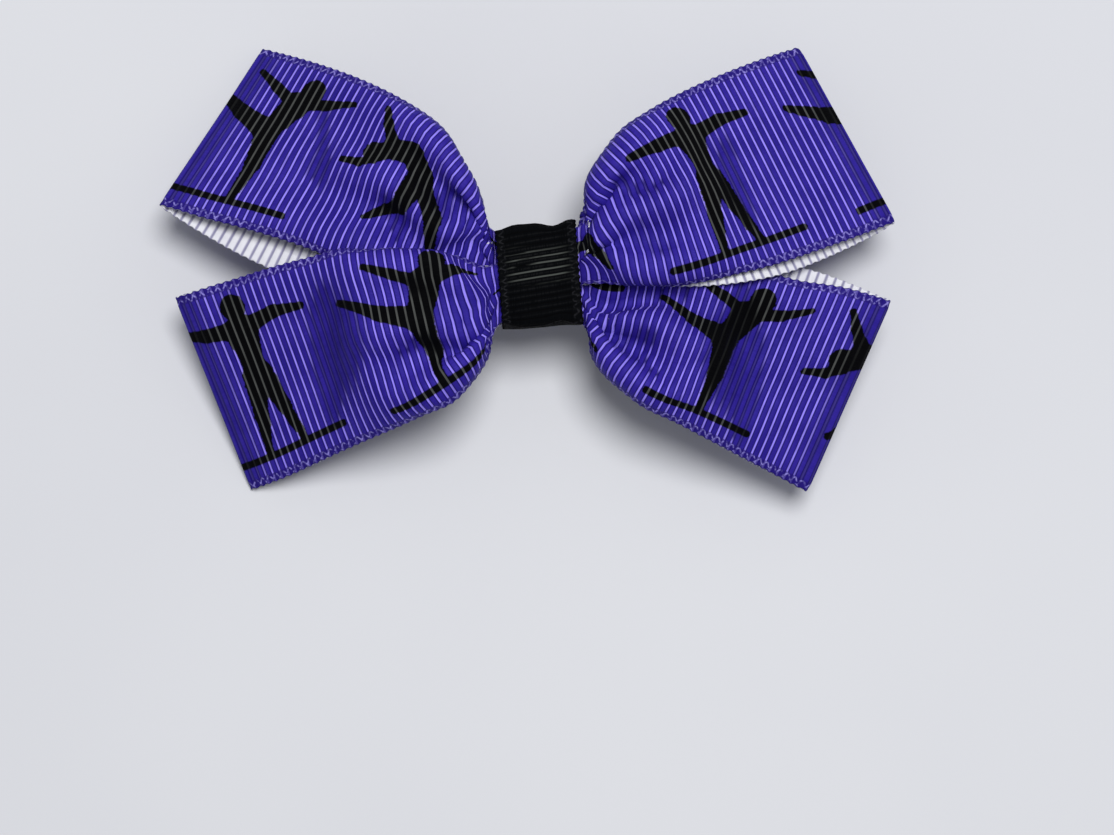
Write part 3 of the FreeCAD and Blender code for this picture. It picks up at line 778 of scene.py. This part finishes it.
def weave_parts(n, rib, width):
    """Masks of a grosgrain: groove between ribs, painted shade on the rib flanks beside it, selvedge and
    its loops.
    """
    turns = n.over(n.along, rib)
    from_groove = n.zigzag(turns)
    groove = n.smooth(from_groove, 0.145, 0.085)
    painted_flank_shade = n.smooth(from_groove, 0.34, 0.15)
    edge = n.minus(width / 2, n.math("ABSOLUTE", n.across))
    selvedge = n.smooth(edge, SELVEDGE, SELVEDGE - 0.12)
    lean = n.times(edge, 0.75)
    first = n.zigzag(n.plus(turns, lean))
    second = n.zigzag(n.minus(n.plus(turns, 0.45), lean))
    line = n.smooth(n.math("MINIMUM", first, second), 0.15, 0.07)
    inner = n.smooth(edge, 0.98, 0.80)
    outer = n.smooth(edge, 0.06, 0.22)
    broken = n.smooth(weave_noise(n, 1.7, 2.3), 0.40, 0.62)
    return groove, painted_flank_shade, selvedge, n.times(n.times(line, inner), n.times(outer, broken))


def warp_threads(n, rib):
    """Height of the fine threads that run along the ribbon over each rib."""
    shift = n.times(n.math("FLOOR", n.over(n.along, rib)), 0.5)
    return n.times(n.zigzag(n.plus(n.over(n.across, 0.16), shift)), 2.0)


def finish_cloth(n, shader, colour, height, roughness, sheen, sheen_tint, specular, strength):
    """Connect a cloth's colour, fine relief and shine."""
    n.fill(shader, {"Normal": n.bump(height, strength, 0.00003), "Base Color": colour,
                    "Roughness": roughness, "Sheen Weight": sheen, "Sheen Roughness": 0.35,
                    "Sheen Tint": (*sheen_tint, 1), "Specular IOR Level": specular})


def printed_ribbon_material(name, print_start, group):
    """Purple printed grosgrain: ink on one face, bare white weave on the other."""
    material, n, shader = new_cloth(name)
    groove, painted_flank_shade, selvedge, loops = weave_parts(n, PRINTED_RIB, RIBBON_W)
    bleed = n.times(n.minus(weave_noise(n, 1.1, 2.6), 0.5), 0.5)
    printed = print_mask(n, n.plus(n.minus(n.along, print_start), bleed), n.across, group)
    cloudy = weave_noise(n, 0.12, 0.2, 4.0)
    streaks = weave_noise(n, 0.5, 7.0)
    speck = weave_noise(n, 3.5, 9.0, 2.0)

    plateau = n.mix(n.smooth(cloudy, 0.35, 0.65), srgb(40, 28, 136), srgb(52, 38, 154))
    plateau = n.mix(n.smooth(streaks, 0.40, 0.75, 0.0, 0.4), plateau, srgb(32, 18, 116))
    plateau = n.mix(n.smooth(speck, 0.62, 0.80, 0.0, 0.35), plateau, srgb(84, 70, 192))
    # painted shade: the rib flanks beside each groove are darkened
    plateau = n.mix(n.times(painted_flank_shade, 0.85), plateau, srgb(14, 3, 88))
    thin = n.smooth(weave_noise(n, 0.9, 0.35), 0.25, 0.6, 0.65, 1.0)
    thin = n.times(thin, n.smooth(n.attribute("opening_and_glint"), 0.0, 1.0, 0.10, 1.0))
    purple = n.mix(n.times(groove, thin), plateau, srgb(156, 140, 252))
    purple = n.mix(n.times(selvedge, 0.80), purple, srgb(34, 20, 114))
    ink = n.mix(n.times(groove, n.times(thin, 0.75)), srgb(0, 0, 2), srgb(92, 94, 92))
    face = n.mix(printed, purple, ink)
    face = n.mix(n.times(loops, 0.62), face, srgb(170, 160, 246))

    back = n.mix(n.smooth(cloudy, 0.3, 0.7), srgb(226, 226, 234), srgb(236, 236, 242))
    # painted shade: the grooves of the bare white back face are darkened
    shade = n.smooth(n.zigzag(n.over(n.along, PRINTED_RIB)), 0.26, 0.04)
    back = n.mix(n.times(shade, 0.78), back, srgb(104, 100, 146))
    back = n.mix(n.times(printed, 0.10), back, srgb(120, 118, 150))
    colour = n.mix(n.smooth(n.attribute("inside"), 0.45, 0.62), face, back)

    height = n.plus(warp_threads(n, PRINTED_RIB),
                    n.plus(n.times(speck, 0.6), n.times(loops, 1.5)))
    roughness = n.plus(n.smooth(printed, 0.0, 1.0, 0.54, 0.86), n.smooth(streaks, 0.3, 0.8, -0.06, 0.08))
    finish_cloth(n, shader, colour, height, roughness, 0.02, srgb(160, 150, 240), 0.08, 0.5)
    return material


def black_ribbon_material(name, width):
    """Plain black grosgrain, satin on its ribs, with painted shade darkening its grooves and a painted
    highlight of pale glints in the grooves where the strip carries the glint mark.
    """
    material, n, shader = new_cloth(name)
    groove, _, selvedge, loops = weave_parts(n, BLACK_RIB, width)
    streaks = weave_noise(n, 0.6, 6.0)
    speck = weave_noise(n, 4.0, 8.0, 2.0)
    base = n.mix(n.smooth(streaks, 0.35, 0.75), srgb(2, 3, 5), srgb(5, 6, 9))
    # painted shade: the grooves between the ribs are darkened
    base = n.mix(n.times(groove, 0.8), base, srgb(2, 2, 3))
    base = n.mix(n.smooth(speck, 0.66, 0.80, 0.0, 0.25), base, srgb(36, 36, 40))
    base = n.mix(n.times(selvedge, 0.5), base, srgb(6, 7, 10))
    # painted highlight: pale glints painted into the grooves wherever the strip carries the glint mark
    shine = n.times(groove, n.smooth(weave_noise(n, 1.3, 0.22), 0.36, 0.52))
    base = n.mix(n.times(shine, n.attribute("opening_and_glint")), base, srgb(74, 77, 74))
    colour = n.mix(n.times(loops, 0.16), base, srgb(84, 84, 90))
    height = n.plus(warp_threads(n, BLACK_RIB),
                    n.plus(n.times(speck, 0.8), n.times(loops, 1.5)))
    crest = n.smooth(n.zigzag(n.over(n.along, BLACK_RIB)), 0.30, 0.46)
    satin = n.times(crest, n.smooth(streaks, 0.30, 0.55))
    roughness = n.smooth(satin, 0.0, 1.0, 0.85, 0.55)
    finish_cloth(n, shader, colour, height, roughness, 0.0, srgb(190, 190, 200), 0.05, 0.4)
    return material


def thread_material(name):
    """Black sewing thread, two plies twisted together."""
    material, n, shader = new_cloth(name)
    twist = n.zigzag(n.plus(n.over(n.along, 0.8), n.times(n.across, 2.0)))
    fuzz = weave_noise(n, 6.0, 4.0)
    # painted shade: darker in the narrow line where the two plies meet
    colour = n.mix(n.smooth(twist, 0.05, 0.4), srgb(4, 4, 7), srgb(26, 26, 32))
    height = n.plus(n.times(twist, 3.0), fuzz)
    roughness = n.smooth(fuzz, 0.3, 0.7, 0.45, 0.6)
    finish_cloth(n, shader, colour, height, roughness, 0.2, srgb(200, 200, 210), 0.3, 0.8)
    return material


def glue_material(name):
    """Hot-melt glue: milky and slightly clear, with a few bubbles."""
    material, n, shader = new_material(name)
    place = n.add("ShaderNodeTexCoord").outputs["Object"]
    haze = n.noise(place, 400.0, 3.0)
    bubbles = n.add("ShaderNodeTexVoronoi", {"Vector": place, "Scale": 1400.0}).outputs["Distance"]
    n.fill(shader, {
        "Base Color": n.mix(n.smooth(haze, 0.35, 0.65), srgb(214, 208, 186), srgb(232, 228, 212)),
        "Normal": n.bump(n.smooth(bubbles, 0.0, 0.25), 0.3, 0.00004),
        "Roughness": n.smooth(haze, 0.3, 0.7, 0.18, 0.34),
        "Subsurface Weight": 0.25, "Subsurface Radius": (0.001, 0.001, 0.0008), "IOR": 1.48})
    return material


def steel_material(name, grain_axis, tone):
    """Nickel-plated sheet steel with rolling lines, worn edges and dull patches."""
    material, n, shader = new_material(name)
    place = n.add("ShaderNodeTexCoord").outputs["Object"]
    stretch = {"X": (250.0, 6000.0, 6000.0), "Y": (6000.0, 250.0, 6000.0)}[grain_axis]
    grain = n.add("ShaderNodeVectorMath", {0: place, 1: stretch}, operation="MULTIPLY").outputs[0]
    lines = n.noise(grain, 1.0, 4.0)
    patches = n.noise(place, 160.0, 5.0)
    worn = n.smooth(n.add("ShaderNodeNewGeometry").outputs["Pointiness"], 0.52, 0.60)
    colour = n.mix(n.smooth(patches, 0.35, 0.70), tone, tuple(0.80 * c for c in tone))
    colour = n.mix(n.smooth(lines, 0.62, 0.72, 0.0, 0.45), colour, tuple(0.55 * c for c in tone))
    colour = n.mix(n.times(worn, 0.6), colour, (0.86, 0.85, 0.83))
    roughness = n.plus(n.smooth(lines, 0.35, 0.75, 0.20, 0.42), n.smooth(patches, 0.45, 0.75, 0.0, 0.10))
    n.fill(shader, {"Base Color": colour, "Roughness": roughness, "Normal": n.bump(lines, 0.25, 0.00001),
                    "Metallic": 1.0, "Anisotropic": 0.3})
    return material


# ---- where things are

def box_mm(node):
    """Low and high corners of a CAD node, in millimetres."""
    low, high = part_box(node)
    return np.array(low) / MM, np.array(high) / MM


def dress(obj, material, node, body=BOW):
    """Give a piece its material, the CAD node it stands for and the body it rides."""
    obj.data.materials.append(material)
    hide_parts(node)
    if body:
        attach(obj, body)


wrap_low, wrap_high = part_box("centre_wrap")
PINCH = np.array([(wrap_low.x + wrap_high.x) / 2, (wrap_low.y + wrap_high.y) / 2, 0]) / MM
HINGE = np.array(frame["joints"][0]["pos_m"]) / MM

# ---- the two printed bands

rounded_line = capsule_group()
rear_ring, front_ring = make_rings()
for name, node, ring, seed, print_start in (("rear_band", "rear_ribbon", rear_ring, 3, 31.0),
                                            ("front_band", "front_ribbon", front_ring, 5, 50.0)):
    s = np.cumsum(ring["ds"]) - ring["ds"][0]
    u = rib_rows(s[-1], PRINTED_RIB)
    v = across_columns(RIBBON_W, 17)
    surface = np.einsum("us,svk->uvk", spline_matrix(s, u), ring["X"])
    surface = np.einsum("wv,uvk->uwk", spline_matrix(V, v), surface)
    # the two end folds: place along the ribbon and reach, mm
    folds = [(s[ring["tags"] == "lb"][-1], 4.0), (s[ring["tags"] == "rf"][-1], 3.0)]
    straighten_ribs(surface, v, np.min([np.abs(u - fold) for fold, _ in folds], axis=0))
    for side, tag, below in (("left", "lf", "lb"), ("right", "rf", "rb")):
        front, back = [np.where((u > reach[0]) & (u < reach[-1]))[0]
                       for reach in (s[ring["tags"] == tag], s[ring["tags"] == below])]
        press_folds(surface, front, name[:-4] + side)
        lift_off(surface, front, back)
    draw_in(surface)
    rest_corners(surface)
    opening_and_glint = groove_opening(surface, u, folds)
    band = woven_strip(name, surface + PINCH, u, v, PRINTED_RIB, 0.09, 0.13, seed, opening_and_glint)
    dress(band, printed_ribbon_material(name + "_grosgrain", print_start, rounded_line),
          node)

# ---- centre wrap

WRAP_W = 8.5
WRAP_TURN = math.radians(4.5)  # the wrap sits slightly askew
WRAP_PATH = np.array([(-3.0, 8.68), (4.1, 8.68), (5.15, 10.2), (5.25, 12.4), (5.2, 14.15), (4.5, 14.6),
                      (2.2, 14.75), (-1.8, 14.75), (-4.5, 14.55), (-5.2, 14.1), (-5.25, 12.2),
                      (-5.15, 10.2), (-3.95, 8.1), (3.0, 8.1)])


def soften(path, rounds):
    """Cut a path's corners, keeping its ends."""
    for _ in range(rounds):
        near = 0.75 * path[:-1] + 0.25 * path[1:]
        far = 0.25 * path[:-1] + 0.75 * path[1:]
        path = np.concatenate([path[:1], np.stack([near, far], 1).reshape(-1, 2)[1:-1], path[-1:]])
    return path


path = soften(WRAP_PATH, 4)
run = lengths_along(path)
u = rib_rows(run[-1], BLACK_RIB)
v = across_columns(WRAP_W, 9)
y, z = [np.interp(u, run, path[:, k])[:, None] for k in (0, 1)]
above = np.clip((z - 10.5) / 3.0, 0, 1)
side = np.clip((np.abs(y) - 4.0) / 1.2, 0, 1) * np.sign(y)
ripple = 0.22 * np.cos(2 * np.pi * (v / 5.4 - 0.2)) + 0.10 * np.cos(2 * np.pi * v / 3.1 + 1.0)
X = np.broadcast_to(-v, (len(u), len(v)))
Y = y + side * above * ripple + 0.09 * X * above * (1 - np.abs(side))
Z = z + above * (1 - np.abs(side)) * 0.6 * ripple
cos, sin = math.cos(WRAP_TURN), math.sin(WRAP_TURN)
surface = np.stack([cos * X - sin * Y, sin * X + cos * Y, Z], -1)
# painted highlight: the grooves are painted pale in one patch on top, as if catching the light
glint = np.interp(Y, (-1.2, -0.4, 2.0, 3.0), (0, 1, 1, 0)) * (Z > 12)
glint = glint * np.interp(np.abs(X), (2.8, 3.5), (1, 0))
wrap = woven_strip("wrap_ribbon", surface + PINCH, u, v, BLACK_RIB, 0.12, 0.06, 7, glint)
dress(wrap, black_ribbon_material("black_grosgrain", WRAP_W), "centre_wrap")

# ---- clip lining

low, high = box_mm("clip_lining")
LINING_W = high[1] - low[1]
u = rib_rows(high[0] - low[0], BLACK_RIB)
v = across_columns(LINING_W, 7)
U, W = np.meshgrid(u, v, indexing="ij")
surface = np.stack([low[0] + U, (low[1] + high[1]) / 2 + W, np.full(U.shape, (low[2] + high[2]) / 2)], -1)
lining = woven_strip("lining_ribbon", surface, u, v, BLACK_RIB, 0.09, 0.09, 11)
dress(lining, black_ribbon_material("black_lining", LINING_W), "clip_lining")

# ---- binding thread

low, high = box_mm("binding_thread")
THREAD_R = 0.15
TURNS = 6
centre, reach = (low + high) / 2, (high - low) / 2 - THREAD_R
a = np.linspace(0, 2 * np.pi * TURNS, 64 * TURNS)
squared_cos, squared_sin = [np.sign(w) * np.abs(w) ** 0.55 for w in (np.cos(a), np.sin(a))]
thread = tube_mesh("wound_thread", np.stack([
    centre[0] + reach[0] * np.linspace(-0.9, 0.9, len(a)) + 0.03 * np.sin(3.1 * a),
    centre[1] + reach[1] * squared_cos,
    centre[2] + reach[2] * squared_sin], -1), THREAD_R, 8)
dress(thread, thread_material("black_thread"), "binding_thread")

# ---- glue between bow and clip

low, high = box_mm("bow_to_clip_glue")
DAB_X = 2.95  # how far each dab's centre lies from the bow's centre, mm
DAB_REACH = (1.38, 2.75, 0.22)  # half sizes of a dab, mm
ROWS, COLUMNS = 14, 28
points, faces = [], []
rng = np.random.default_rng(13)
tilt = np.linspace(-np.pi / 2, np.pi / 2, ROWS)[:, None]
turn = np.linspace(0, 2 * np.pi, COLUMNS, endpoint=False)[None, :]
for side in (-1, 1):
    lobes = 1 + 0.08 * np.cos(3 * turn + rng.uniform(0, 6)) + 0.05 * np.cos(5 * turn + rng.uniform(0, 6))
    flat = np.abs(np.cos(tilt)) ** 0.5 * lobes
    x = PINCH[0] + side * DAB_X + DAB_REACH[0] * flat * np.cos(turn)
    y = PINCH[1] + DAB_REACH[1] * flat * np.sin(turn)
    swell = DAB_REACH[2] * np.sign(np.sin(tilt)) * np.abs(np.sin(tilt)) ** 0.7
    z = (low[2] + high[2]) / 2 + swell * np.ones_like(turn)
    faces += tube_faces(len(points) * ROWS * COLUMNS + np.arange(ROWS * COLUMNS).reshape(ROWS, COLUMNS))
    points.append(np.stack([x, y, z], -1).reshape(-1, 3))
mesh = bpy.data.meshes.new("glue_dabs")
mesh.from_pydata((np.concatenate(points) * MM).tolist(), [], faces)
mesh.validate()
mesh.polygons.foreach_set("use_smooth", np.ones(len(mesh.polygons), bool))
dabs = add_object("glue_dabs", mesh)
glue = glue_material("hot_melt_glue")
dress(dabs, glue, "bow_to_clip_glue")

# ---- spring

low, high = box_mm("clip_spring")
WIRE_R = 0.215
COIL_R = 1.35
COIL_REACH = 1.66  # half the coil's length, mm
a = np.linspace(np.pi / 2, np.pi * 1.5 + 2 * np.pi * 7, 420)
coil = np.stack([HINGE[0] + COIL_R * np.cos(a),
                 HINGE[1] + np.linspace(-COIL_REACH, COIL_REACH, len(a)),
                 HINGE[2] + COIL_R * np.sin(a)], -1)
share = np.linspace(1, 0, 24, endpoint=False)[:, None]
upper_end = np.array([high[0] - WIRE_R, HINGE[1] - COIL_REACH, high[2] - WIRE_R])
lower_end = np.array([high[0] - WIRE_R, HINGE[1] + COIL_REACH, low[2] + WIRE_R])
upper_leg = coil[0] + share * (upper_end - coil[0])
lower_leg = coil[-1] + share[::-1] * (lower_end - coil[-1])
spring = tube_mesh("spring_wire", np.concatenate([upper_leg, coil, lower_leg]), WIRE_R, 12)
dress(spring, steel_material("spring_steel", "Y", srgb(176, 178, 184)), "clip_spring", None)
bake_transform(spring)

# ---- carried-over CAD nodes

carried = [(node, glue) for node in ("rear_seam_glue", "front_seam_glue", "wrap_end_glue")]
for node, axis, tone in (("clip_top_jaw", "X", (196, 197, 202)), ("clip_bottom_jaw", "X", (190, 192, 198)),
                         ("hinge_pin", "Y", (204, 204, 208))):
    carried.append((node, steel_material(node + "_steel", axis, srgb(*tone))))
for node, material in carried:
    for place in frame["nodes"][node].material_slots:
        place.material = material

# ---- table, light and camera

TABLE_HALF = 0.8
CORNERS = ((-1, -1), (1, -1), (1, 1), (-1, 1))
mesh = bpy.data.meshes.new("table")
mesh.from_pydata([(x * TABLE_HALF, y * TABLE_HALF, 0) for x, y in CORNERS], [], [(0, 1, 2, 3)])
table = add_object("table", mesh)
material, n, shader = new_material("pale_table")
faint = n.noise(n.add("ShaderNodeTexCoord").outputs["Object"], 9.0, 3.0)
tabletop = n.mix(n.smooth(faint, 0.3, 0.7), srgb(213, 214, 219), srgb(219, 220, 224))
n.fill(shader, {"Base Color": tabletop, "Roughness": 0.7, "Specular IOR Level": 0.2})
mesh.materials.append(material)

LAMP_PLACE = (0.09, 0.15, 0.78)
lamp = bpy.data.lights.new("overhead_softbox", "AREA")
lamp.shape, lamp.size, lamp.energy, lamp.color = "DISK", 0.32, 5.15, (1, 1, 1)
softbox = add_object("overhead_softbox", lamp)
softbox.location = LAMP_PLACE
softbox.rotation_euler = (-Vector(LAMP_PLACE)).to_track_quat("-Z", "Y").to_euler()
world = bpy.data.worlds.new("studio")
bpy.context.scene.world = world
world.use_nodes = True
world.node_tree.nodes["Background"].inputs["Color"].default_value = (0.93, 0.95, 1.0, 1)
world.node_tree.nodes["Background"].inputs["Strength"].default_value = 0.30
bpy.context.scene.view_settings.view_transform = "Standard"

LOOK_AT = Vector((PINCH[0] + 1.9, PINCH[1] - 14.4, 0)) * MM
DISTANCE, ELEVATION, FIELD = 0.33, math.radians(87), math.radians(21.03)
back = Vector((0, -math.cos(ELEVATION), math.sin(ELEVATION)))
camera = add_object("camera", bpy.data.cameras.new("camera"))
camera.data.angle = FIELD
camera.data.clip_start, camera.data.clip_end = 0.01, 5.0
camera.location = LOOK_AT + back * DISTANCE
camera.rotation_euler = (-back).to_track_quat("-Z", "Y").to_euler()
bpy.context.scene.camera = camera

bpy.context.view_layer.update()
